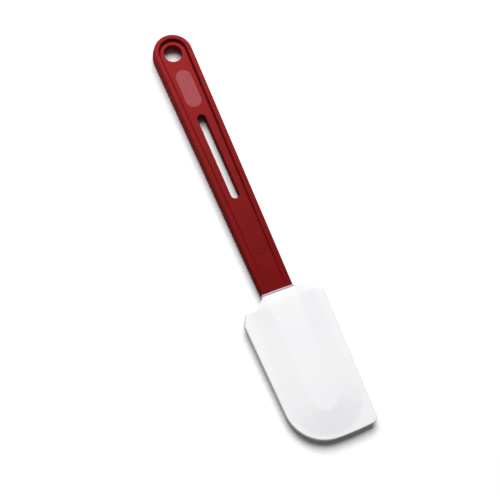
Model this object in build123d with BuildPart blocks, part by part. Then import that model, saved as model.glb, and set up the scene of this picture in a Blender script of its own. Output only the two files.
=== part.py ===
from build123d import *

import math
import os

# Kitchen spatula: a moulded handle with its tang, a silicone blade moulded on to it and an inlaid label.
# Millimetres. +X runs from the hanging end to the blade's tip and +Z is up. The spatula lies flat, with
# the rim at its hanging end on Z = 0 and the middle of its box over the origin.

# Whole spatula
overall_length = 343
blade_length = 119.4
overrun = 5

# Grip, measured at the parting line halfway up
grip_end_radius = 15.6
grip_neck_width = 25.8
grip_end_thickness = 14
grip_neck_thickness = 8
grip_draft = 4
grip_edge_round = 1.8

# Recessed panels, one on each face
web_thickness = 7.4
panel_end_radius = 10.7
panel_neck_width = 15.2
panel_draft = 8

# Hanging hole and long slot through the web
hole_radius = 7.15
hole_edge_round = 0.6
slot_width = 6.7
slot_length = 73.7
slot_from_end = 71.5
slot_edge_round = 0.5

# Label in its pocket in the upper panel
label_length = 32.8
label_width = 12.4
label_thickness = 0.6
label_from_end = 31.4

# Round marks on the upper panel
mark_radius = 3.1
mark_line_width = 0.8
mark_depth = 0.2
mark_from_neck = 57.5
mark_spacing = 25.5
mark_count = 2

# Tang inside the blade, and the holes that lock the silicone to it
tang_neck_width = 19.6
tang_end_width = 16.4
tang_neck_thickness = 5
tang_end_thickness = 3.6
lock_hole_radius = 3
lock_hole_count = 3

# Blade outline
blade_root_width = 67.4
blade_tip_width = 61.8
tip_crown_radius = 220
tip_crown_offset = 5
large_corner_radius = 30
small_corner_radius = 5
shoulder_depth = 9.3
sharp_corner_round = 1.2
collar_length = 2.2
notch_depth = 9.6
notch_place_share = 0.49
notch_round_share = 0.36
square_shoulder_depth = 8.7
cut_corner_length = 9.4
cut_corner_width = 4.3

# Blade thickness
lip_root_thickness = 4.4
lip_tip_thickness = 3.2
skirt_width = 54.4
skirt_neck_thickness = 13.4
skirt_end_thickness = 10.2
shoulder_edge_thickness = 2.2
shoulder_bevel_length = 12.4
shoulder_bevel_height = 5.2

# Spine over the tang
spine_neck_width = 24.6
spine_end_width = 20.8
spine_from_tip = 22.1
spine_root_thickness = 12.4
spine_end_thickness = 9.4
rest_pad_length = 6
collar_thickness = 9.8
collar_ramp_start = 2.1
collar_ramp_end = 9
mouth_length = 1.3
mouth_thickness = 5.8

# Places worked out from the sizes above
end_x = -overall_length / 2
tip_x = overall_length / 2
neck_x = tip_x - blade_length
mid_z = grip_end_thickness / 2
hole_x = end_x + grip_end_radius
label_x = end_x + label_from_end + label_length / 2
slot_x = end_x + slot_from_end + slot_length / 2
web_top_z = mid_z + web_thickness / 2
spine_end_x = tip_x - spine_from_tip
spine_centre_x = spine_end_x - spine_end_width / 2
tang_cover = (spine_end_width - tang_end_width) / 2
tang_end_x = spine_end_x - tang_cover
ramp_top_x = neck_x + collar_ramp_end
root_x = neck_x + shoulder_depth


def tangent_point(centre_x, radius, far_x, far_y):
    """Where a line from (far_x, far_y) touches the circle about (centre_x, 0)."""
    reach = math.hypot(far_x - centre_x, far_y)
    angle = math.atan2(far_y, far_x - centre_x) + math.acos(radius / reach)
    return (centre_x + radius * math.cos(angle), radius * math.sin(angle))


def rounded_bar(centre_x, radius, square_x, square_width):
    """Edges of a tapered bar, round about (centre_x, 0) and running on past square_x."""
    half = square_width / 2
    touch_x, touch_y = tangent_point(centre_x, radius, square_x, half)
    nose_x = centre_x - radius
    far_x = square_x + overrun
    Polyline(
        (touch_x, -touch_y),
        (square_x, -half),
        (far_x, -half),
        (far_x, half),
        (square_x, half),
        (touch_x, touch_y),
    )
    ThreePointArc((touch_x, touch_y), (nose_x, 0), (touch_x, -touch_y))


def rounded_tongue(square_x, square_width, round_x, round_width):
    """Edges of a tapered tongue, square at square_x and round at its tip, round_x."""
    radius = round_width / 2
    centre_x = round_x - radius
    mirrored_x, touch_y = tangent_point(-centre_x, radius, -square_x, square_width / 2)
    half = square_width / 2
    Polyline((-mirrored_x, touch_y), (square_x, half), (square_x, -half), (-mirrored_x, -touch_y))
    ThreePointArc((-mirrored_x, -touch_y), (round_x, 0), (-mirrored_x, touch_y))


def side_profile(stations):
    """Edges of an upright section, as thick at each place as the stations say, about the middle plane."""
    upper = [(place, mid_z + thickness / 2) for place, thickness in stations]
    lower = [(place, mid_z - thickness / 2) for place, thickness in reversed(stations)]
    Polyline(*upper, *lower, close=True)


# Outlines seen from above
with BuildSketch(Plane.XY.offset(mid_z)) as grip_outline:
    with BuildLine():
        rounded_bar(hole_x, grip_end_radius, neck_x, grip_neck_width)
    make_face()

with BuildSketch(Plane.XY.offset(web_top_z)) as panel_outline:
    with BuildLine():
        rounded_bar(hole_x, panel_end_radius, neck_x, panel_neck_width)
    make_face()

with BuildSketch(Plane.XY.offset(mid_z)) as tang_outline:
    with BuildLine():
        rounded_tongue(neck_x, tang_neck_width, tang_end_x, tang_end_width)
    make_face()

with BuildSketch(Plane.XY.offset(mid_z)) as spine_outline:
    with BuildLine():
        rounded_tongue(neck_x, spine_neck_width, spine_end_x, spine_end_width)
    make_face()

# The tip edge is a very flat arc, highest a little to the +Y side
root_half = blade_root_width / 2
tip_half = blade_tip_width / 2
left_tip_x = tip_x - (tip_half + tip_crown_offset) ** 2 / (2 * tip_crown_radius)
right_tip_x = tip_x - (tip_half - tip_crown_offset) ** 2 / (2 * tip_crown_radius)
neck_half = grip_neck_width / 2
collar_x = neck_x + collar_length
square_x = neck_x + square_shoulder_depth
cut_x = square_x + cut_corner_length
cut_y = cut_corner_width - root_half

# The notch beside the neck, sized by the width between the neck and the cut corner
shoulder_width = -cut_y - neck_half
notch_x = neck_x + notch_depth
notch_y = -neck_half - notch_place_share * shoulder_width
notch_round = notch_round_share * shoulder_width

with BuildSketch(Plane.XY.offset(mid_z)) as blade_outline:
    with BuildLine():
        Polyline(
            (left_tip_x, -tip_half),
            (cut_x, -root_half),
            (square_x, cut_y),
            (notch_x, notch_y),
            (collar_x, -neck_half),
            (neck_x, -neck_half),
            (neck_x, neck_half),
            (root_x, root_half),
            (right_tip_x, tip_half),
        )
        ThreePointArc((right_tip_x, tip_half), (tip_x, tip_crown_offset), (left_tip_x, -tip_half))
    make_face()
    for corner, radius in (
        ((left_tip_x, -tip_half), large_corner_radius),
        ((right_tip_x, tip_half), small_corner_radius),
        ((notch_x, notch_y), notch_round),
        ((square_x, cut_y), sharp_corner_round),
        ((cut_x, -root_half), sharp_corner_round),
        ((root_x, root_half), sharp_corner_round),
    ):
        fillet(blade_outline.vertices().sort_by_distance(corner)[0], radius)

# Tang, also used to hollow the blade
with BuildPart() as tang:
    extrude(tang_outline.sketch, amount=mid_z, both=True)
    with BuildSketch(Plane.XZ):
        with BuildLine():
            side_profile([(neck_x, tang_neck_thickness), (tang_end_x, tang_end_thickness)])
        make_face()
    extrude(amount=grip_neck_width, both=True, mode=Mode.INTERSECT)
    hole_spacing = (tang_end_x - neck_x) / (lock_hole_count + 1)
    with Locations(*[(neck_x + (index + 1) * hole_spacing, 0) for index in range(lock_hole_count)]):
        Hole(lock_hole_radius)

# Handle: the upper half of the grip with its rim, panel and openings, mirrored, then the tang
with BuildPart() as handle:
    extrude(grip_outline.sketch, amount=grip_end_thickness, taper=grip_draft)
    with BuildSketch(Plane.XZ):
        with BuildLine():
            side_profile([(end_x, grip_end_thickness), (neck_x, grip_neck_thickness)])
        make_face()
    extrude(amount=2 * grip_end_radius, both=True, mode=Mode.INTERSECT)
    fillet(handle.faces().sort_by(Axis.Z)[-1].edges().filter_by(Axis.Y, reverse=True), grip_edge_round)
    extrude(panel_outline.sketch, amount=grip_end_thickness, taper=-panel_draft, mode=Mode.SUBTRACT)
    with BuildSketch(Plane.XY.offset(mid_z)):
        with Locations((hole_x, 0)):
            Circle(hole_radius)
        with Locations((slot_x, 0)):
            SlotOverall(slot_length, slot_width)
    extrude(amount=grip_end_thickness, mode=Mode.SUBTRACT)
    panel_floor = handle.faces().filter_by(Axis.Z).sort_by(Axis.Z)[-1]
    hole_mouth, slot_mouth = panel_floor.inner_wires().sort_by(Axis.X)
    fillet(hole_mouth.edges(), hole_edge_round)
    fillet(slot_mouth.edges(), slot_edge_round)
    mirror(about=Plane.XY.offset(mid_z))
    with BuildSketch(Plane.XY.offset(web_top_z)):
        with Locations((label_x, 0)):
            SlotOverall(label_length, label_width)
    extrude(amount=-label_thickness, mode=Mode.SUBTRACT)
    first_mark_x = neck_x - mark_from_neck
    with BuildSketch(Plane.XY.offset(web_top_z)):
        with Locations(*[(first_mark_x + index * mark_spacing, 0) for index in range(mark_count)]):
            Circle(mark_radius)
            Circle(mark_radius - mark_line_width, mode=Mode.SUBTRACT)
    extrude(amount=-mark_depth, mode=Mode.SUBTRACT)
    add(tang.part)

# Label, flush in its pocket
with BuildPart() as label:
    with BuildSketch(Plane.XY.offset(web_top_z)):
        with Locations((label_x, 0)):
            SlotOverall(label_length, label_width)
    extrude(amount=-label_thickness)

# Side view of the spine and flanks: low mouth at the neck, collar, ramp, rest pad, long slope
top_stations = [
    (neck_x, mouth_thickness),
    (neck_x + mouth_length, mouth_thickness),
    (neck_x + collar_ramp_start, collar_thickness),
    (ramp_top_x, spine_root_thickness),
    (ramp_top_x + rest_pad_length, spine_root_thickness),
    (spine_end_x, spine_end_thickness),
]


def skirt_section(top_width, top_thickness):
    """Section across the flanks, flat over the spine and thinning to the lip on both sides."""
    side_profile([
        (-skirt_width / 2, lip_tip_thickness),
        (-top_width / 2, top_thickness),
        (top_width / 2, top_thickness),
        (skirt_width / 2, lip_tip_thickness),
    ])


# Flanks, sloping from the spine to the lip on both sides and round the spine's end
with BuildPart() as flanks:
    with BuildSketch(Plane.YZ.offset(neck_x)):
        with BuildLine():
            skirt_section(spine_neck_width, skirt_neck_thickness)
        make_face()
    with BuildSketch(Plane.YZ.offset(spine_centre_x)):
        with BuildLine():
            skirt_section(spine_end_width, skirt_end_thickness)
        make_face()
    loft(ruled=True)
    with BuildSketch(Plane.XZ):
        with BuildLine():
            side_profile([
                (spine_centre_x, skirt_end_thickness),
                (spine_end_x, skirt_end_thickness),
                (spine_centre_x + skirt_width / 2, lip_tip_thickness),
            ])
        make_face()
    revolve(axis=Axis((spine_centre_x, 0, 0), (0, 0, 1)))
    extrude(blade_outline.sketch, amount=mid_z, both=True, mode=Mode.INTERSECT)
    with BuildSketch(Plane.XZ):
        with BuildLine():
            side_profile(top_stations + [(tip_x, spine_end_thickness)])
        make_face()
    extrude(amount=blade_root_width, both=True, mode=Mode.INTERSECT)

# What the long bevels take off the shoulders, above the middle plane
bevel_end_half = shoulder_edge_thickness / 2 + shoulder_bevel_height
shoulder_angle = math.atan2(root_half - neck_half, shoulder_depth)
shoulder_line = (math.cos(shoulder_angle), math.sin(shoulder_angle), 0)
into_blade = (math.sin(shoulder_angle), -math.cos(shoulder_angle), 0)
shoulder_plane = Plane((neck_x, neck_half, mid_z), x_dir=into_blade, z_dir=shoulder_line)
with BuildPart() as bevel_waste:
    with BuildSketch(shoulder_plane):
        with BuildLine():
            Polyline(
                (-overrun, shoulder_edge_thickness / 2),
                (0, shoulder_edge_thickness / 2),
                (shoulder_bevel_length, bevel_end_half),
                (shoulder_bevel_length, bevel_end_half + overrun),
                (-overrun, bevel_end_half + overrun),
                close=True,
            )
        make_face()
    extrude(amount=blade_root_width, both=True)
    mirror(about=Plane.XZ)

# Spine over the tang
with BuildPart() as spine:
    extrude(spine_outline.sketch, amount=mid_z, both=True)
    with BuildSketch(Plane.XZ):
        with BuildLine():
            side_profile(top_stations)
        make_face()
    extrude(amount=grip_neck_width, both=True, mode=Mode.INTERSECT)

# Blade: lip, flanks and spine, hollowed for the tang
with BuildPart() as blade:
    extrude(blade_outline.sketch, amount=mid_z, both=True)
    with BuildSketch(Plane.XZ):
        with BuildLine():
            side_profile([(neck_x, lip_root_thickness), (tip_x, lip_tip_thickness)])
        make_face()
    extrude(amount=blade_root_width, both=True, mode=Mode.INTERSECT)
    add(flanks.part)
    add(bevel_waste.part, mode=Mode.SUBTRACT)
    add(mirror(bevel_waste.part, about=Plane.XY.offset(mid_z), mode=Mode.PRIVATE), mode=Mode.SUBTRACT)
    add(spine.part)
    add(tang.part, mode=Mode.SUBTRACT)

os.makedirs("parts", exist_ok=True)
for piece, name in ((handle, "handle"), (blade, "blade"), (label, "label")):
    piece.part.label = name
    export_step(piece.part, f"parts/{name}.step")
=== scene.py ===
import math

import bpy
from mathutils import Matrix, Vector
from mathutils.geometry import delaunay_2d_cdt
from mathutils.kdtree import KDTree


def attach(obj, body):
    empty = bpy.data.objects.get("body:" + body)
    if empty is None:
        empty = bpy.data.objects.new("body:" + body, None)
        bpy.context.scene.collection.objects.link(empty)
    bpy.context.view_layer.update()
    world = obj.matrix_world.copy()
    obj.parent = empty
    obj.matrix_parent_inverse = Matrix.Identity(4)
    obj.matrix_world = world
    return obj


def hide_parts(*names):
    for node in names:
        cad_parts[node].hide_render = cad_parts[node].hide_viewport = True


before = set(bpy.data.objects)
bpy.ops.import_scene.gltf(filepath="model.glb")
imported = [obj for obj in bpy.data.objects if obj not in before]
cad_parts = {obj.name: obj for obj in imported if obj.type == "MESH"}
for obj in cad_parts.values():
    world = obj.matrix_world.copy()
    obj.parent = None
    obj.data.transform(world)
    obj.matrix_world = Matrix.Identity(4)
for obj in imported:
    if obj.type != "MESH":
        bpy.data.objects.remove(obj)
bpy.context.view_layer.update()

# Lengths in millimetres; MM turns them into metres. The outlines and the handle's sizes are the CAD
# part's. The small rounds, the fine line round the panel and the blade's heights are the scene's own.
# The blade's differ from the CAD part's by up to 0.5 mm, and at the neck and shoulders by up to 3 mm.
MM = 0.001
OVERALL_LENGTH = 343.0
BLADE_LENGTH = 119.4
END_X = -OVERALL_LENGTH / 2
TIP_X = OVERALL_LENGTH / 2
NECK_X = TIP_X - BLADE_LENGTH
MID_Z = 7.0

# Grip
GRIP_RADIUS = 15.6
GRIP_NECK_HALF = 12.9
GRIP_END_HALF_THICKNESS = 6.97
GRIP_NECK_HALF_THICKNESS = 4.0
GRIP_DRAFT = math.tan(math.radians(4))
GRIP_EDGE_ROUND = 1.8
HOLE_X = END_X + GRIP_RADIUS

# Recessed panel
WEB_HALF = 3.7
RIM_END_WIDTH = 4.9
RIM_NECK_WIDTH = 5.3
PANEL_DRAFT = math.tan(math.radians(8))
RIM_INNER_ROUND = 1.3
RIM_INNER_DEPTH_SHARE = 0.6
RIM_INNER_LEAN = 0.02
RIM_OUTER_DEGREES = (4, 16, 28, 40, 52, 64, 76, 90)
RIM_INNER_DEGREES = (0, 14, 28, 42, 56, 70, 82)
# The rim's inner wall begins between the last two points of its inner round
RECESS_STEP = 2 + len(RIM_OUTER_DEGREES) + len(RIM_INNER_DEGREES) - 2
# A fine line round the panel: its depth by x, and its section as shares of its width and its depth
PANEL_LINE_WIDTH = 0.75
PANEL_LINE_DEPTH = ((20.0, 0.45), (NECK_X, 0.08))
PANEL_LINE_SHARES = ((0.0, 0.0), (0.04, 0.9), (0.2, 1.0), (0.7, 1.0), (0.9, 0.5), (1.0, 0.1), (1.1, 0.0))

# Openings, label pocket and marks
HOLE_RADIUS = 7.15
HOLE_EDGE_ROUND = 0.6
SLOT_HALF_WIDTH = 3.35
SLOT_X0 = END_X + 71.5
SLOT_X1 = SLOT_X0 + 73.7
SLOT_EDGE_ROUND = 0.5
LABEL_X0 = END_X + 31.4
LABEL_X1 = LABEL_X0 + 32.8
LABEL_HALF_WIDTH = 6.2
LABEL_DEPTH = 0.6
LABEL_EDGE_ROUND = 0.12
MARK_FIRST_X = NECK_X - 57.5
MARK_SPACING = 25.5
MARK_XS = (MARK_FIRST_X, MARK_FIRST_X + MARK_SPACING)
MARK_OUTER = 3.1
MARK_INNER = 2.3
MARK_DEPTH = 0.2
MARK_SLOPE = 0.08

# Blade outline
ROOT_HALF = 33.7
TIP_HALF = 30.9
CROWN_RADIUS = 220.0
CROWN_Y = 5.0
CROWN_AHEAD = 0.1
LARGE_CORNER = 30.0
SMALL_CORNER = 5.0
SHARP_CORNER = 1.2
COLLAR_X = NECK_X + 2.2
SQUARE_X = NECK_X + 8.7
CUT_X = SQUARE_X + 9.4
CUT_Y = 4.3 - ROOT_HALF
ROOT_X = NECK_X + 9.3
SHOULDER_WIDTH = -CUT_Y - GRIP_NECK_HALF
NOTCH_X = NECK_X + 9.6
NOTCH_PLACE_SHARE = 0.49
NOTCH_ROUND_SHARE = 0.36
NOTCH_Y = -GRIP_NECK_HALF - NOTCH_PLACE_SHARE * SHOULDER_WIDTH
NOTCH_ROUND = NOTCH_ROUND_SHARE * SHOULDER_WIDTH

# Blade thickness, in halves about the middle plane. The bevel at the shoulders starts from an edge and
# rises with a slope, both by the distance from the middle line.
LIP = ((NECK_X, 2.5), (TIP_X, 1.7))
SPINE_NECK_HALF = 12.3
SPINE_END_HALF = 10.4
SPINE_END_X = TIP_X - 22.1
SPINE_CENTRE_X = SPINE_END_X - SPINE_END_HALF
SKIRT_TOP = ((NECK_X, 6.1), (SPINE_CENTRE_X, 4.65))
SKIRT_INNER = ((NECK_X, SPINE_NECK_HALF), (SPINE_CENTRE_X, SPINE_END_HALF))
SKIRT_FOOT = 2.1
SKIRT_HALF = 27.2
BEVEL_EDGE = ((12.3, 4.9), (18.0, 3.5), (23.0, 2.3), (ROOT_HALF, 1.8))
BEVEL_SLOPE = ((12.3, 0.10), (18.0, 0.17), (23.0, 0.26), (ROOT_HALF, 0.34))
GROOVE_X0 = NECK_X + 0.75
GROOVE_X1 = NECK_X + 1.85
RAMP_X0 = NECK_X + 2.1
RAMP_X1 = NECK_X + 9.0
PAD_LENGTH = 6.0
GROOVE_WALL = 0.1
# The spine's height along x: lip, groove, collar, ramp, flat pad and the long slope to the spine's end
SPINE_TOP = (
    (GROOVE_X0 - GROOVE_WALL, 3.9),
    (GROOVE_X0, 2.55),
    (GROOVE_X1, 2.55),
    (GROOVE_X1 + GROOVE_WALL, 5.0),
    (RAMP_X0, 5.3),
    (RAMP_X1, 5.9),
    (RAMP_X1 + PAD_LENGTH, 5.9),
    (SPINE_END_X, 4.5),
)
BLADE_EDGE_ROUND = 0.7
COLLAR_EDGE_ROUND = 0.2
EDGE_DEGREES = (0, 18, 36, 54, 72, 90)
SKIRT_BLEND = 0.25
BEVEL_BLEND = 0.3
SPINE_STEP_START = 0.25
SPINE_STEP_WIDTH = 0.8
# The spine's height is the mean over these places along x, past the sharp groove and lip
SPINE_BLUR = (-0.3, -0.1, 0.1, 0.3)
SPINE_BLUR_X = RAMP_X0 + 1.0

# Meshing: the outline's step, the grid's step, the rows of points along the spine's edge and across the
# groove, and how near to others a point may be
OUTLINE_STEP = 0.5
LARGE_CORNER_COUNT = 60
CROWN_COUNT = 40
SPINE_END_COUNT = 36
MOUTH_COUNT = 5
HOLE_COUNT = 96
MARK_COUNT = 48
MITRE_LIMIT = 0.7
GRID_STEP = 0.8
GRID_CLEARANCE = 0.5
EDGE_CLEARANCE = 0.35
SPINE_ROWS = (-1.2, -0.6, -0.2, 0.2, 0.6, 1.2)
SPINE_ROW_START = 1.0
GROOVE_ROWS = (0.64, 0.76, 1.3, 1.84, 1.96, 2.3, 2.7)
GROOVE_ROW_STEP = 0.4
GROOVE_ROW_HALF_COUNT = 31
SIDE_COUNT = 70
NOSE_COUNT = 72
SAME_POINT = 1e-6
HALVINGS = 60
SHARP_ANGLE = math.radians(50)
NORMAL_WEIGHT = 90


def table(x, stations):
    """The value at x of a line through the (x, value) stations."""
    if x <= stations[0][0]:
        return stations[0][1]
    for (x0, v0), (x1, v1) in zip(stations, stations[1:]):
        if x <= x1:
            return v0 + (v1 - v0) * (x - x0) / (x1 - x0)
    return stations[-1][1]


def smooth_step(t):
    """From 0 at t = 0 to 1 at t = 1, level at both ends."""
    t = min(1.0, max(0.0, t))
    return t * t * (3 - 2 * t)


def smooth_min(a, b, width):
    """The smaller value, rounded off where the two are less than width apart."""
    h = max(width - abs(a - b), 0.0) / width
    return min(a, b) - h * h * width / 4


def smooth_max(a, b, width):
    """The larger value, rounded off where the two are less than width apart."""
    return -smooth_min(-a, -b, width)


def arc(centre, radius, start, end, count):
    """Points from angle start to angle end, in radians, both ends included."""
    return [
        (
            centre[0] + radius * math.cos(start + (end - start) * i / count),
            centre[1] + radius * math.sin(start + (end - start) * i / count),
        )
        for i in range(count + 1)
    ]


def slot_ring(x0, x1, half_width, offset, count=24, straight=24):
    """A slot's outline, round at both ends and grown by offset."""
    radius = half_width + offset
    left = x0 + half_width
    right = x1 - half_width
    ring = arc((right, 0), radius, -math.pi / 2, math.pi / 2, count)
    ring += [(right + (left - right) * i / straight, radius) for i in range(1, straight)]
    ring += arc((left, 0), radius, math.pi / 2, 3 * math.pi / 2, count)
    ring += [(left + (right - left) * i / straight, -radius) for i in range(1, straight)]
    return ring


def circle_ring(x, radius, count):
    """A circle's outline, with its centre on the middle line."""
    return arc((x, 0), radius, 0, 2 * math.pi, count)[:-1]


def inside(ring, x, y):
    """True where (x, y) lies inside the closed ring of points."""
    hit = False
    for (x0, y0), (x1, y1) in zip(ring, ring[1:] + ring[:1]):
        if (y0 > y) != (y1 > y) and x < x0 + (y - y0) * (x1 - x0) / (y1 - y0):
            hit = not hit
    return hit


class Shell:
    """Collects the points and faces of one closed shape, with z measured from the middle plane."""

    def __init__(self):
        self.points = []
        self.faces = []
        self.recess = []

    def ring(self, flat, height):
        """Adds points, all at one height or at a height each, and returns their indices."""
        first = len(self.points)
        heights = height if isinstance(height, list) else [height] * len(flat)
        self.points += [(x, y, z) for (x, y), z in zip(flat, heights)]
        return list(range(first, len(self.points)))

    def strip(self, a, b, closed=True):
        """Faces between two rings of the same length."""
        count = len(a)
        for i in range(count if closed else count - 1):
            j = (i + 1) % count
            self.faces.append((a[i], a[j], b[j], b[i]))

    def mirror(self):
        """Adds the mirror image below the middle plane and returns each point's image."""
        image = []
        for i, (x, y, z) in enumerate(list(self.points)):
            if abs(z) < SAME_POINT:
                image.append(i)
            else:
                image.append(len(self.points))
                self.points.append((x, y, -z))
        self.recess += [i + len(self.faces) for i in self.recess]
        self.faces += [tuple(image[i] for i in reversed(face)) for face in self.faces]
        return image

    def fill(self, outer, holes, spread, height):
        """Triangulates the region between rings already added, through the points in spread."""
        flat = []
        edges = []
        sources = []
        for ring in [outer] + holes:
            start = len(flat)
            sources += ring
            flat += [Vector(self.points[i][:2]) for i in ring]
            edges += [(start + i, start + (i + 1) % len(ring)) for i in range(len(ring))]
        blocks = [[self.points[i][:2] for i in ring] for ring in holes]
        flat += [Vector(point) for point in spread]
        points, _, faces, origins, _, _ = delaunay_2d_cdt(flat, edges, [], 1, SAME_POINT)
        found = []
        for point, origin in zip(points, origins):
            known = [i for i in origin if i < len(sources)]
            if known:
                found.append(sources[known[0]])
            else:
                found.append(len(self.points))
                self.points.append((point[0], point[1], height(point[0], point[1])))
        for face in faces:
            x = sum(points[i][0] for i in face) / len(face)
            y = sum(points[i][1] for i in face) / len(face)
            if not any(inside(block, x, y) for block in blocks):
                self.faces.append(tuple(found[i] for i in face))

    def object(self, name):
        """A smooth-shaded mesh object, in metres, with its normals turned outwards."""
        mesh = bpy.data.meshes.new(name)
        mesh.from_pydata([(MM * x, MM * y, MM * (MID_Z + z)) for x, y, z in self.points], [], self.faces)
        mesh.validate()
        for i in self.recess:
            mesh.polygons[i].material_index = 1
        piece = bpy.data.objects.new(name, mesh)
        bpy.context.scene.collection.objects.link(piece)
        bpy.context.view_layer.objects.active = piece
        piece.select_set(True)
        bpy.ops.object.mode_set(mode="EDIT")
        bpy.ops.mesh.select_all(action="SELECT")
        bpy.ops.mesh.normals_make_consistent(inside=False)
        bpy.ops.object.mode_set(mode="OBJECT")
        piece.select_set(False)
        mesh.shade_smooth()
        mesh.set_sharp_from_angle(angle=SHARP_ANGLE)
        weighted = piece.modifiers.new("weighted_normals", "WEIGHTED_NORMAL")
        weighted.weight = NORMAL_WEIGHT
        weighted.keep_sharp = True
        return piece


# Handle: from the parting line over the rim and down into the panel, then the openings
def grip_half_thickness(x):
    """The height of the rim's top above the middle plane."""
    return table(x, ((END_X, GRIP_END_HALF_THICKNESS), (NECK_X, GRIP_NECK_HALF_THICKNESS)))


def grip_stations():
    """(x, y, inward normal) of points around the grip at the parting line, from neck to neck."""
    reach = math.hypot(NECK_X - HOLE_X, GRIP_NECK_HALF)
    touch = math.atan2(GRIP_NECK_HALF, NECK_X - HOLE_X) + math.acos(GRIP_RADIUS / reach)
    nx, ny = math.cos(touch), math.sin(touch)
    touch_x = HOLE_X + GRIP_RADIUS * nx
    touch_y = GRIP_RADIUS * ny
    side = []
    for i in range(SIDE_COUNT):
        t = i / SIDE_COUNT
        side.append((NECK_X + (touch_x - NECK_X) * t, GRIP_NECK_HALF + (touch_y - GRIP_NECK_HALF) * t))
    stations = [(x, -y, -nx, ny) for x, y in side]
    for i in range(NOSE_COUNT + 1):
        angle = -touch - (2 * math.pi - 2 * touch) * i / NOSE_COUNT
        c, s = math.cos(angle), math.sin(angle)
        stations.append((HOLE_X + GRIP_RADIUS * c, GRIP_RADIUS * s, -c, -s))
    return stations + [(x, y, -nx, -ny) for x, y in reversed(side)]


def rim_profile(x):
    """(inward distance, height) from the parting line over the rim to the panel, at x."""
    half = grip_half_thickness(x)
    depth = half - WEB_HALF
    wall_top = half - GRIP_EDGE_ROUND
    shoulder = wall_top * GRIP_DRAFT
    profile = [(0.0, 0.0), (0.5 * shoulder, 0.5 * wall_top)]
    for degrees in RIM_OUTER_DEGREES:
        angle = math.radians(degrees)
        profile.append((
            shoulder + GRIP_EDGE_ROUND * (1 - math.cos(angle)),
            wall_top + GRIP_EDGE_ROUND * math.sin(angle),
        ))
    foot = table(x, ((HOLE_X, RIM_END_WIDTH), (NECK_X, RIM_NECK_WIDTH)))
    crest = foot - depth * PANEL_DRAFT
    crest_round = min(RIM_INNER_ROUND, RIM_INNER_DEPTH_SHARE * depth)
    for degrees in RIM_INNER_DEGREES:
        angle = math.radians(degrees)
        inward = crest - (crest_round + RIM_INNER_LEAN) * (1 - math.sin(angle))
        profile.append((inward, half - crest_round * (1 - math.cos(angle))))
    for inward, below in PANEL_LINE_SHARES:
        profile.append((foot + PANEL_LINE_WIDTH * inward, WEB_HALF - table(x, PANEL_LINE_DEPTH) * below))
    return profile


def mouth(shell, ring_at, rounding, bottom):
    """An opening's rounded mouth in the panel and the wall below it; returns the first and last ring."""
    rings = []
    for i in range(MOUTH_COUNT + 1):
        angle = math.pi / 2 * i / MOUTH_COUNT
        flat = ring_at(rounding * (1 - math.sin(angle)))
        rings.append(shell.ring(flat, WEB_HALF - rounding * (1 - math.cos(angle))))
    rings.append(shell.ring(ring_at(0.0), bottom))
    for a, b in zip(rings, rings[1:]):
        shell.strip(b, a)
    return rings[0], rings[-1]


def build_handle():
    """The grip with its rim, panels, openings, label pocket and marks."""
    shell = Shell()
    stations = grip_stations()
    profiles = [rim_profile(x) for x, _, _, _ in stations]
    rings = []
    for step in range(len(profiles[0])):
        flat = []
        for (x, y, nx, ny), profile in zip(stations, profiles):
            inward = profile[step][0]
            px = x if x == NECK_X else x + nx * inward
            flat.append((px, y + ny * inward))
        rings.append(shell.ring(flat, [profile[step][1] for profile in profiles]))
    for step, (a, b) in enumerate(zip(rings, rings[1:])):
        first = len(shell.faces)
        shell.strip(a, b, closed=False)
        # The rim's inner wall and the fine line round the panel get the second material, painted shade
        if step >= RECESS_STEP:
            shell.recess += range(first, len(shell.faces))
    shell.faces.append(tuple([ring[0] for ring in rings] + [ring[-1] for ring in reversed(rings)]))
    hole, _ = mouth(
        shell, lambda grow: circle_ring(HOLE_X, HOLE_RADIUS + grow, HOLE_COUNT), HOLE_EDGE_ROUND, 0.0
    )
    slot, _ = mouth(
        shell, lambda grow: slot_ring(SLOT_X0, SLOT_X1, SLOT_HALF_WIDTH, grow), SLOT_EDGE_ROUND, 0.0
    )
    image = shell.mirror()
    shell.fill([image[i] for i in rings[-1]], [[image[i] for i in ring] for ring in (hole, slot)], [],
               lambda x, y: -WEB_HALF)

    # The upper panel also has the label's pocket and the two marks
    label, pocket = mouth(
        shell, lambda grow: slot_ring(LABEL_X0, LABEL_X1, LABEL_HALF_WIDTH, grow), LABEL_EDGE_ROUND,
        WEB_HALF - LABEL_DEPTH,
    )
    shell.faces.append(tuple(pocket))
    marks = []
    for x in MARK_XS:
        ridge = [
            shell.ring(circle_ring(x, radius, MARK_COUNT), WEB_HALF - depth)
            for radius, depth in (
                (MARK_OUTER + MARK_SLOPE, 0.0),
                (MARK_OUTER - MARK_SLOPE, MARK_DEPTH),
                (MARK_INNER + MARK_SLOPE, MARK_DEPTH),
                (MARK_INNER - MARK_SLOPE, 0.0),
            )
        ]
        for a, b in zip(ridge, ridge[1:]):
            shell.strip(b, a)
        shell.faces.append(tuple(ridge[-1]))
        marks.append(ridge[0])
    shell.fill(rings[-1], [hole, slot, label] + marks, [], lambda x, y: WEB_HALF)
    return shell.object("handle_grip")


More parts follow.
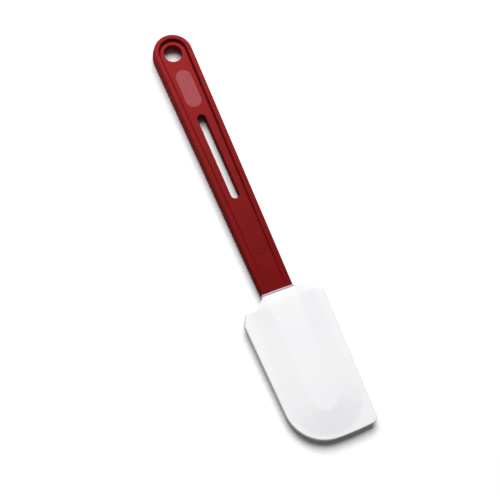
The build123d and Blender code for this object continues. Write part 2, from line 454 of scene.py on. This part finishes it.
# Blade: a height field over its outline, with a rounded edge
def line_circle_corner():
    """Centre and touching points of the large corner's circle, between the side and the crowned tip."""
    crown = (TIP_X - CROWN_RADIUS, CROWN_Y)
    left_tip_x = TIP_X - (TIP_HALF + CROWN_Y) ** 2 / (2 * CROWN_RADIUS)
    dx, dy = left_tip_x - CUT_X, ROOT_HALF - TIP_HALF
    length = math.hypot(dx, dy)
    ux, uy = dx / length, dy / length
    nx, ny = -uy, ux
    low, high = 0.0, length
    for _ in range(HALVINGS):
        middle = (low + high) / 2
        cx = CUT_X + ux * middle + nx * LARGE_CORNER
        cy = -ROOT_HALF + uy * middle + ny * LARGE_CORNER
        if math.hypot(cx - crown[0], cy - crown[1]) < CROWN_RADIUS - LARGE_CORNER:
            low = middle
        else:
            high = middle
    return (cx, cy), math.atan2(-ny, -nx), math.atan2(cy - crown[1], cx - crown[0])


def fillet_corner(before, corner, after, radius):
    """Points of the arc that rounds a corner of a line of points."""
    ax, ay = before[0] - corner[0], before[1] - corner[1]
    bx, by = after[0] - corner[0], after[1] - corner[1]
    la, lb = math.hypot(ax, ay), math.hypot(bx, by)
    ax, ay, bx, by = ax / la, ay / la, bx / lb, by / lb
    half = math.acos(max(-1.0, min(1.0, ax * bx + ay * by))) / 2
    reach = radius / math.tan(half)
    mx, my = ax + bx, ay + by
    lm = math.hypot(mx, my)
    cx = corner[0] + mx / lm * radius / math.sin(half)
    cy = corner[1] + my / lm * radius / math.sin(half)
    start = math.atan2(corner[1] + ay * reach - cy, corner[0] + ax * reach - cx)
    end = math.atan2(corner[1] + by * reach - cy, corner[0] + bx * reach - cx)
    turn = (end - start + math.pi) % (2 * math.pi) - math.pi
    count = max(4, int(abs(turn) * radius / OUTLINE_STEP))
    return arc((cx, cy), radius, start, start + turn, count)


def dense(points, step):
    """The closed line through points with extra points no more than step apart."""
    found = []
    for (x0, y0), (x1, y1) in zip(points, points[1:] + points[:1]):
        count = max(1, math.ceil(math.hypot(x1 - x0, y1 - y0) / step - SAME_POINT))
        found += [(x0 + (x1 - x0) * i / count, y0 + (y1 - y0) * i / count) for i in range(count)]
    return found


def blade_outline():
    """The blade's outline as a closed line of points, counter-clockwise from the neck."""
    right_tip = (TIP_X - (TIP_HALF - CROWN_Y) ** 2 / (2 * CROWN_RADIUS), TIP_HALF)
    crown = (TIP_X - CROWN_RADIUS, CROWN_Y)
    corner, side_angle, tip_angle = line_circle_corner()
    cut = (CUT_X, -ROOT_HALF)
    square = (SQUARE_X, CUT_Y)
    notch = (NOTCH_X, NOTCH_Y)
    collar = (COLLAR_X, -GRIP_NECK_HALF)
    root = (ROOT_X, ROOT_HALF)
    tip_before = arc(crown, CROWN_RADIUS, 0, CROWN_AHEAD, 1)[1]
    large = arc(corner, LARGE_CORNER, side_angle, tip_angle, LARGE_CORNER_COUNT)
    small = fillet_corner(tip_before, right_tip, root, SMALL_CORNER)
    crown_end = math.atan2(small[0][1] - crown[1], small[0][0] - crown[0])
    points = [(NECK_X, -GRIP_NECK_HALF), collar]
    points += fillet_corner(collar, notch, square, NOTCH_ROUND)
    points += fillet_corner(notch, square, cut, SHARP_CORNER)
    points += fillet_corner(square, cut, large[0], SHARP_CORNER)
    points += large
    points += arc(crown, CROWN_RADIUS, tip_angle, crown_end, CROWN_COUNT)[1:-1]
    points += small
    points += fillet_corner(right_tip, root, (NECK_X, GRIP_NECK_HALF), SHARP_CORNER)
    points += [(NECK_X, GRIP_NECK_HALF)]
    return dense(points, OUTLINE_STEP)


def inward_normals(ring):
    """Mitred inward normals of a counter-clockwise ring."""
    normals = []
    count = len(ring)
    for i in range(count):
        x0, y0 = ring[i - 1]
        x1, y1 = ring[i]
        x2, y2 = ring[(i + 1) % count]
        a, b = math.hypot(x1 - x0, y1 - y0), math.hypot(x2 - x1, y2 - y1)
        ax, ay = -(y1 - y0) / a, (x1 - x0) / a
        bx, by = -(y2 - y1) / b, (x2 - x1) / b
        mx, my = ax + bx, ay + by
        scale = 2 / max(MITRE_LIMIT, mx * mx + my * my)
        normals.append((mx * scale, my * scale))
    return normals


SPINE_REACH = math.hypot(NECK_X - SPINE_CENTRE_X, SPINE_NECK_HALF)
SPINE_TOUCH = (
    math.atan2(SPINE_NECK_HALF, SPINE_CENTRE_X - NECK_X) + math.acos(SPINE_END_HALF / SPINE_REACH)
)


def spine_depth(x, y):
    """How far (x, y) is inside the spine's outline; negative outside."""
    dx, dy = x - SPINE_CENTRE_X, abs(y)
    if math.atan2(dy, dx) < math.pi - SPINE_TOUCH:
        return SPINE_END_HALF - math.hypot(dx, dy)
    nx, ny = math.cos(math.pi - SPINE_TOUCH), math.sin(math.pi - SPINE_TOUCH)
    return SPINE_END_HALF - (dx * nx + dy * ny)


def spine_line(depth):
    """Points along the spine's outline, moved inwards by depth."""
    radius = SPINE_END_HALF - depth
    angle = math.pi - SPINE_TOUCH
    nx, ny = math.cos(angle), math.sin(angle)
    start_x, start_y = SPINE_CENTRE_X + radius * nx, radius * ny
    run = start_x - NECK_X - SPINE_ROW_START
    count = int(run / GRID_STEP)
    side = [(start_x - run * i / count, start_y + run * i / count * nx / ny) for i in range(count, 0, -1)]
    ring = side + arc((SPINE_CENTRE_X, 0), radius, angle, -angle, SPINE_END_COUNT)
    return ring + [(x, -y) for x, y in reversed(side)]


def shoulder_distance(x, y):
    """How far (x, y) is into the blade from the line of the shoulders."""
    run, rise = ROOT_X - NECK_X, ROOT_HALF - GRIP_NECK_HALF
    length = math.hypot(run, rise)
    return ((x - NECK_X) * rise - (abs(y) - GRIP_NECK_HALF) * run) / length


def blade_half_thickness(x, y):
    """The height of the blade's face above the middle plane."""
    lip = table(x, LIP)
    reach = abs(y) if x < SPINE_CENTRE_X else math.hypot(x - SPINE_CENTRE_X, y)
    top, inner = table(x, SKIRT_TOP), table(x, SKIRT_INNER)
    skirt = top - (top - SKIRT_FOOT) / (SKIRT_HALF - inner) * (reach - inner)
    blur = SPINE_BLUR if x > SPINE_BLUR_X else (0.0,)
    spine = sum(table(x + dx, SPINE_TOP) for dx in blur) / len(blur)
    base = smooth_max(smooth_min(skirt, spine, SKIRT_BLEND), lip, SKIRT_BLEND)
    bevel = table(abs(y), BEVEL_EDGE) + table(abs(y), BEVEL_SLOPE) * max(0.0, shoulder_distance(x, y))
    base = smooth_min(base, bevel, BEVEL_BLEND)
    step = smooth_step((spine_depth(x, y) + SPINE_STEP_START) / SPINE_STEP_WIDTH)
    return base + (spine - base) * step


def flat_tree(points):
    """A search tree of (x, y) points."""
    tree = KDTree(len(points))
    for index, (x, y) in enumerate(points):
        tree.insert((x, y, 0), index)
    tree.balance()
    return tree


def build_blade():
    """The blade: a rounded edge round its outline, and both faces as height fields."""
    shell = Shell()
    outline = blade_outline()
    normals = inward_normals(outline)
    rounds = [COLLAR_EDGE_ROUND if x - NECK_X < SAME_POINT else BLADE_EDGE_ROUND for x, _ in outline]
    tops = []
    for (x, y), (nx, ny), rounding in zip(outline, normals, rounds):
        tops.append(blade_half_thickness(x + nx * rounding, y + ny * rounding))
    rings = [shell.ring(outline, 0.0)]
    for degrees in EDGE_DEGREES:
        angle = math.radians(degrees)
        flat = []
        heights = []
        for (x, y), (nx, ny), rounding, top in zip(outline, normals, rounds, tops):
            inward = rounding * (1 - math.cos(angle))
            flat.append((x + nx * inward, y + ny * inward))
            heights.append(top - rounding * (1 - math.sin(angle)))
        rings.append(shell.ring(flat, heights))
    for a, b in zip(rings, rings[1:]):
        shell.strip(a, b)
    inner = [shell.points[i][:2] for i in rings[-1]]
    lines = []
    for depth in SPINE_ROWS:
        lines += spine_line(depth)
    lines += [
        (NECK_X + reach, GROOVE_ROW_STEP * j)
        for reach in GROOVE_ROWS
        for j in range(-GROOVE_ROW_HALF_COUNT, GROOVE_ROW_HALF_COUNT + 1)
    ]
    tree = flat_tree(inner + lines)
    edge_tree = flat_tree(inner)
    spread = [
        (x, y)
        for x, y in lines
        if inside(inner, x, y) and edge_tree.find((x, y, 0))[2] > EDGE_CLEARANCE
    ]
    columns = int((TIP_X - NECK_X) / GRID_STEP)
    rows = int(ROOT_HALF / GRID_STEP)
    for i in range(columns + 1):
        for j in range(-rows, rows + 1):
            x = NECK_X + (i + 0.5 * (j % 2)) * GRID_STEP
            y = j * GRID_STEP
            if tree.find((x, y, 0))[2] > GRID_CLEARANCE and inside(inner, x, y):
                spread.append((x, y))
    shell.fill(rings[-1], [], spread, blade_half_thickness)
    shell.mirror()
    return shell.object("blade_silicone")


handle = build_handle()
blade = build_blade()
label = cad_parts["label"]

# Materials. At a noise scale of 1000 a grain is about 1 mm wide; grain heights are in metres.
NYLON_ROUGHNESS = 0.62
NYLON_SPECULAR = 0.05
# Painted light: the red is lighter and pinker towards the hanging end, a painted falloff of the lamp's
# light and a painted sheen
RED_WITH_PAINTED_FALLOFF = (
    (0.0, (0.325, 0.0180, 0.0200)),
    (0.5, (0.224, 0.0095, 0.0105)),
    (1.0, (0.160, 0.0025, 0.0035)),
)
SPECK_SCALE = 1300
SPECK_STOPS = ((0.32, 0.66), (0.5, 1.0), (0.7, 1.38))
CLOUD_SCALE = 70
CLOUD_STOPS = ((0.3, 0.95), (0.7, 1.05))
NYLON_SHEEN_SCALE = 1500
NYLON_SHEEN_STOPS = ((0.3, 0.55), (0.7, 0.72))
NYLON_GRAIN_SCALE = 1000
NYLON_GRAIN_STRENGTH = 0.3
NYLON_GRAIN_HEIGHT = 0.0002
# Painted shade on the rim's inner wall: its share of each colour in RED_WITH_PAINTED_FALLOFF
PAINTED_SHADE_SHARES = (0.5, 0.68, 1.0)

SILICONE_ROUGHNESS = 0.5
SILICONE_SPECULAR = 0.25
WHITE_SCALE = 28
WHITE_STOPS = ((0.35, (0.865, 0.870, 0.885)), (0.65, (0.885, 0.888, 0.898)))
# Painted shade and a painted reflection of the handle's red on the silicone next to the neck
NECK_PAINTED_SHADE_REACH = 2.6
NECK_PAINTED_SHADE_STOPS = ((0.0, (0.72, 0.58, 0.64)), (0.5, (0.78, 0.74, 0.82)), (0.95, (1.0, 1.0, 1.0)))
SILICONE_SHEEN_SCALE = 300
SILICONE_SHEEN_STOPS = ((0.3, 0.45), (0.7, 0.56))
SILICONE_GRAIN_SCALE = 900
SILICONE_GRAIN_STRENGTH = 0.05
SILICONE_GRAIN_HEIGHT = 0.0001

LABEL_ROUGHNESS = 0.6
PINK_SCALE = 900
PINK_STOPS = (
    (0.32, (0.33, 0.065, 0.072)),
    (0.5, (0.37, 0.076, 0.085)),
    (0.7, (0.41, 0.089, 0.099)),
)
LABEL_SHEEN_STOPS = ((0.3, 0.55), (0.7, 0.7))
LABEL_GRAIN_SCALE = 1300
LABEL_GRAIN_STRENGTH = 0.15


def new_material(name, roughness, specular):
    """A material with its nodes, its links and its shader."""
    material = bpy.data.materials.new(name)
    material.use_nodes = True
    nodes = material.node_tree.nodes
    shader = nodes["Principled BSDF"]
    shader.inputs["Roughness"].default_value = roughness
    shader.inputs["Specular IOR Level"].default_value = specular
    return material, nodes, material.node_tree.links, shader


def noise(nodes, links, scale, detail):
    """Noise in object space."""
    place = nodes.new("ShaderNodeTexCoord")
    texture = nodes.new("ShaderNodeTexNoise")
    texture.inputs["Scale"].default_value = scale
    texture.inputs["Detail"].default_value = detail
    links.new(place.outputs["Object"], texture.inputs["Vector"])
    return texture.outputs["Fac"]


def ramp(nodes, links, factor, stops):
    """A colour or grey value from a factor; stops are (place, value) pairs."""
    node = nodes.new("ShaderNodeValToRGB")
    band = node.color_ramp
    while len(band.elements) < len(stops):
        band.elements.new(0.5)
    for element, (position, value) in zip(band.elements, stops):
        element.position = position
        element.color = (*value, 1) if isinstance(value, tuple) else (value, value, value, 1)
    links.new(factor, node.inputs["Fac"])
    return node.outputs["Color"]


def mix(nodes, links, factor, a, b, blend="MIX"):
    """The mix of two colours; each of the three inputs is an output socket, a colour or a number."""
    node = nodes.new("ShaderNodeMix")
    node.data_type = "RGBA"
    node.blend_type = blend
    for socket, value in ((node.inputs[0], factor), (node.inputs[6], a), (node.inputs[7], b)):
        if isinstance(value, bpy.types.NodeSocket):
            links.new(value, socket)
        elif isinstance(value, tuple):
            socket.default_value = (*value, 1)
        else:
            socket.default_value = value
    return node.outputs[2]


def multiply(nodes, links, a, b):
    """The product of two colours."""
    return mix(nodes, links, 1.0, a, b, "MULTIPLY")


def bump(nodes, links, shader, height, strength, distance):
    """Relief on a shader from a height; distance is in metres."""
    node = nodes.new("ShaderNodeBump")
    node.inputs["Strength"].default_value = strength
    node.inputs["Distance"].default_value = distance
    links.new(height, node.inputs["Height"])
    links.new(node.outputs["Normal"], shader.inputs["Normal"])


def along_x(nodes, links, start, end):
    """0 at x = start, 1 at x = end, in millimetres."""
    place = nodes.new("ShaderNodeTexCoord")
    split = nodes.new("ShaderNodeSeparateXYZ")
    scale = nodes.new("ShaderNodeMapRange")
    scale.inputs["From Min"].default_value = start * MM
    scale.inputs["From Max"].default_value = end * MM
    links.new(place.outputs["Object"], split.inputs["Vector"])
    links.new(split.outputs["X"], scale.inputs["Value"])
    return scale.outputs["Result"]


def nylon(name, shares=(1.0, 1.0, 1.0)):
    """Red glass-filled nylon: fine grain and a faint cloudiness, painted lighter and pinker towards the
    hanging end as a painted falloff of the lamp's light and a painted sheen.
    """
    material, nodes, links, shader = new_material(name, NYLON_ROUGHNESS, NYLON_SPECULAR)
    stops = [
        (place, tuple(share * part for part in colour))
        for share, (place, colour) in zip(shares, RED_WITH_PAINTED_FALLOFF)
    ]
    painted_falloff = ramp(nodes, links, along_x(nodes, links, END_X, NECK_X), stops)
    speck = ramp(nodes, links, noise(nodes, links, SPECK_SCALE, detail=3), SPECK_STOPS)
    cloud = ramp(nodes, links, noise(nodes, links, CLOUD_SCALE, detail=2), CLOUD_STOPS)
    speckled = multiply(nodes, links, painted_falloff, speck)
    links.new(multiply(nodes, links, speckled, cloud), shader.inputs["Base Color"])
    sheen = ramp(nodes, links, noise(nodes, links, NYLON_SHEEN_SCALE, detail=2), NYLON_SHEEN_STOPS)
    links.new(sheen, shader.inputs["Roughness"])
    grain = noise(nodes, links, NYLON_GRAIN_SCALE, detail=3)
    bump(nodes, links, shader, grain, NYLON_GRAIN_STRENGTH, NYLON_GRAIN_HEIGHT)
    return material


# The rim's inner wall is the same nylon, darkened in place of the shade that a deep recess holds
red = nylon("red_nylon")
recess = nylon("red_nylon_painted_shade", PAINTED_SHADE_SHARES)

# Silicone: nearly white, satin, with a faint cloudiness. The lip and groove at the neck are painted
# darker and violet:
# painted shade from the handle's end and a painted reflection of the handle's red.
white, nodes, links, shader = new_material("white_silicone", SILICONE_ROUGHNESS, SILICONE_SPECULAR)
cloud = ramp(nodes, links, noise(nodes, links, WHITE_SCALE, detail=3), WHITE_STOPS)
neck_painted_shade = ramp(nodes, links, along_x(nodes, links, NECK_X, NECK_X + NECK_PAINTED_SHADE_REACH), NECK_PAINTED_SHADE_STOPS)
links.new(multiply(nodes, links, cloud, neck_painted_shade), shader.inputs["Base Color"])
sheen = ramp(nodes, links, noise(nodes, links, SILICONE_SHEEN_SCALE, detail=2), SILICONE_SHEEN_STOPS)
links.new(sheen, shader.inputs["Roughness"])
grain = noise(nodes, links, SILICONE_GRAIN_SCALE, detail=2)
bump(nodes, links, shader, grain, SILICONE_GRAIN_STRENGTH, SILICONE_GRAIN_HEIGHT)

# Label: the same nylon, paler
pink, nodes, links, shader = new_material("pink_inlay", LABEL_ROUGHNESS, NYLON_SPECULAR)
speck = ramp(nodes, links, noise(nodes, links, PINK_SCALE, detail=4), PINK_STOPS)
links.new(speck, shader.inputs["Base Color"])
sheen = ramp(nodes, links, noise(nodes, links, NYLON_SHEEN_SCALE, detail=2), LABEL_SHEEN_STOPS)
links.new(sheen, shader.inputs["Roughness"])
grain = noise(nodes, links, LABEL_GRAIN_SCALE, detail=3)
bump(nodes, links, shader, grain, LABEL_GRAIN_STRENGTH, NYLON_GRAIN_HEIGHT)

handle.data.materials.append(red)
handle.data.materials.append(recess)
blade.data.materials.append(white)
label.data.materials.clear()
label.data.materials.append(pink)

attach(handle, "root")
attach(blade, "root")
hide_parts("handle")
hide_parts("blade")

# Camera, as fitted to the photo
AZIMUTH, ELEVATION, ROLL = math.radians(48.43), math.radians(68), math.radians(20)
TARGET = Vector((14.92 * MM, -6.04 * MM, 7 * MM))
DISTANCE = 1.2
LENS = 115.06
SENSOR_WIDTH = 36
back = Vector((
    math.sin(AZIMUTH) * math.cos(ELEVATION),
    -math.cos(AZIMUTH) * math.cos(ELEVATION),
    math.sin(ELEVATION),
))
flat_right = Vector((math.cos(AZIMUTH), math.sin(AZIMUTH), 0))
flat_up = back.cross(flat_right)
right = flat_right * math.cos(ROLL) + flat_up * math.sin(ROLL)
up = flat_up * math.cos(ROLL) - flat_right * math.sin(ROLL)
camera_data = bpy.data.cameras.new("camera")
camera_data.lens = LENS
camera_data.sensor_width = SENSOR_WIDTH
camera_data.clip_start = 0.05
camera_data.clip_end = 20
camera = bpy.data.objects.new("camera", camera_data)
turn = Matrix((right, up, back)).transposed().to_4x4()
camera.matrix_world = Matrix.Translation(TARGET + back * DISTANCE) @ turn
bpy.context.scene.collection.objects.link(camera)
bpy.context.scene.camera = camera

# Floor: the camera sees it brighter than it bounces light, so that the shadows keep their depth
FLOOR_SIZE = 6
FLOOR_Z = -0.00002
FLOOR_BOUNCE = (0.5, 0.5, 0.5)
FLOOR_SEEN = (1.07, 1.07, 1.07)
bpy.ops.mesh.primitive_plane_add(size=FLOOR_SIZE, location=(0, 0, FLOOR_Z))
floor = bpy.context.object
floor.name = "floor"
paper, nodes, links, shader = new_material("paper_floor", roughness=1.0, specular=0.0)
path = nodes.new("ShaderNodeLightPath")
gain = mix(nodes, links, path.outputs["Is Camera Ray"], FLOOR_BOUNCE, FLOOR_SEEN)
links.new(gain, shader.inputs["Base Color"])
floor.data.materials.append(paper)

# Light: a soft box beyond the hanging end and a plain white surround
KEY_PLACE = Vector((-1.48, 0.20, 2.60))
KEY_SIZE = 2.4
KEY_POWER = 118
SURROUND_STRENGTH = 0.09
key_data = bpy.data.lights.new("key", "AREA")
key_data.shape = "SQUARE"
key_data.size = KEY_SIZE
key_data.energy = KEY_POWER
key = bpy.data.objects.new("key", key_data)
key.location = KEY_PLACE
key.rotation_euler = (KEY_PLACE - TARGET).to_track_quat("Z", "Y").to_euler()
bpy.context.scene.collection.objects.link(key)
world = bpy.data.worlds.new("surround")
world.use_nodes = True
background = world.node_tree.nodes["Background"]
background.inputs["Color"].default_value = (1, 1, 1, 1)
background.inputs["Strength"].default_value = SURROUND_STRENGTH
bpy.context.scene.world = world

bpy.context.scene.view_settings.view_transform = "Standard"
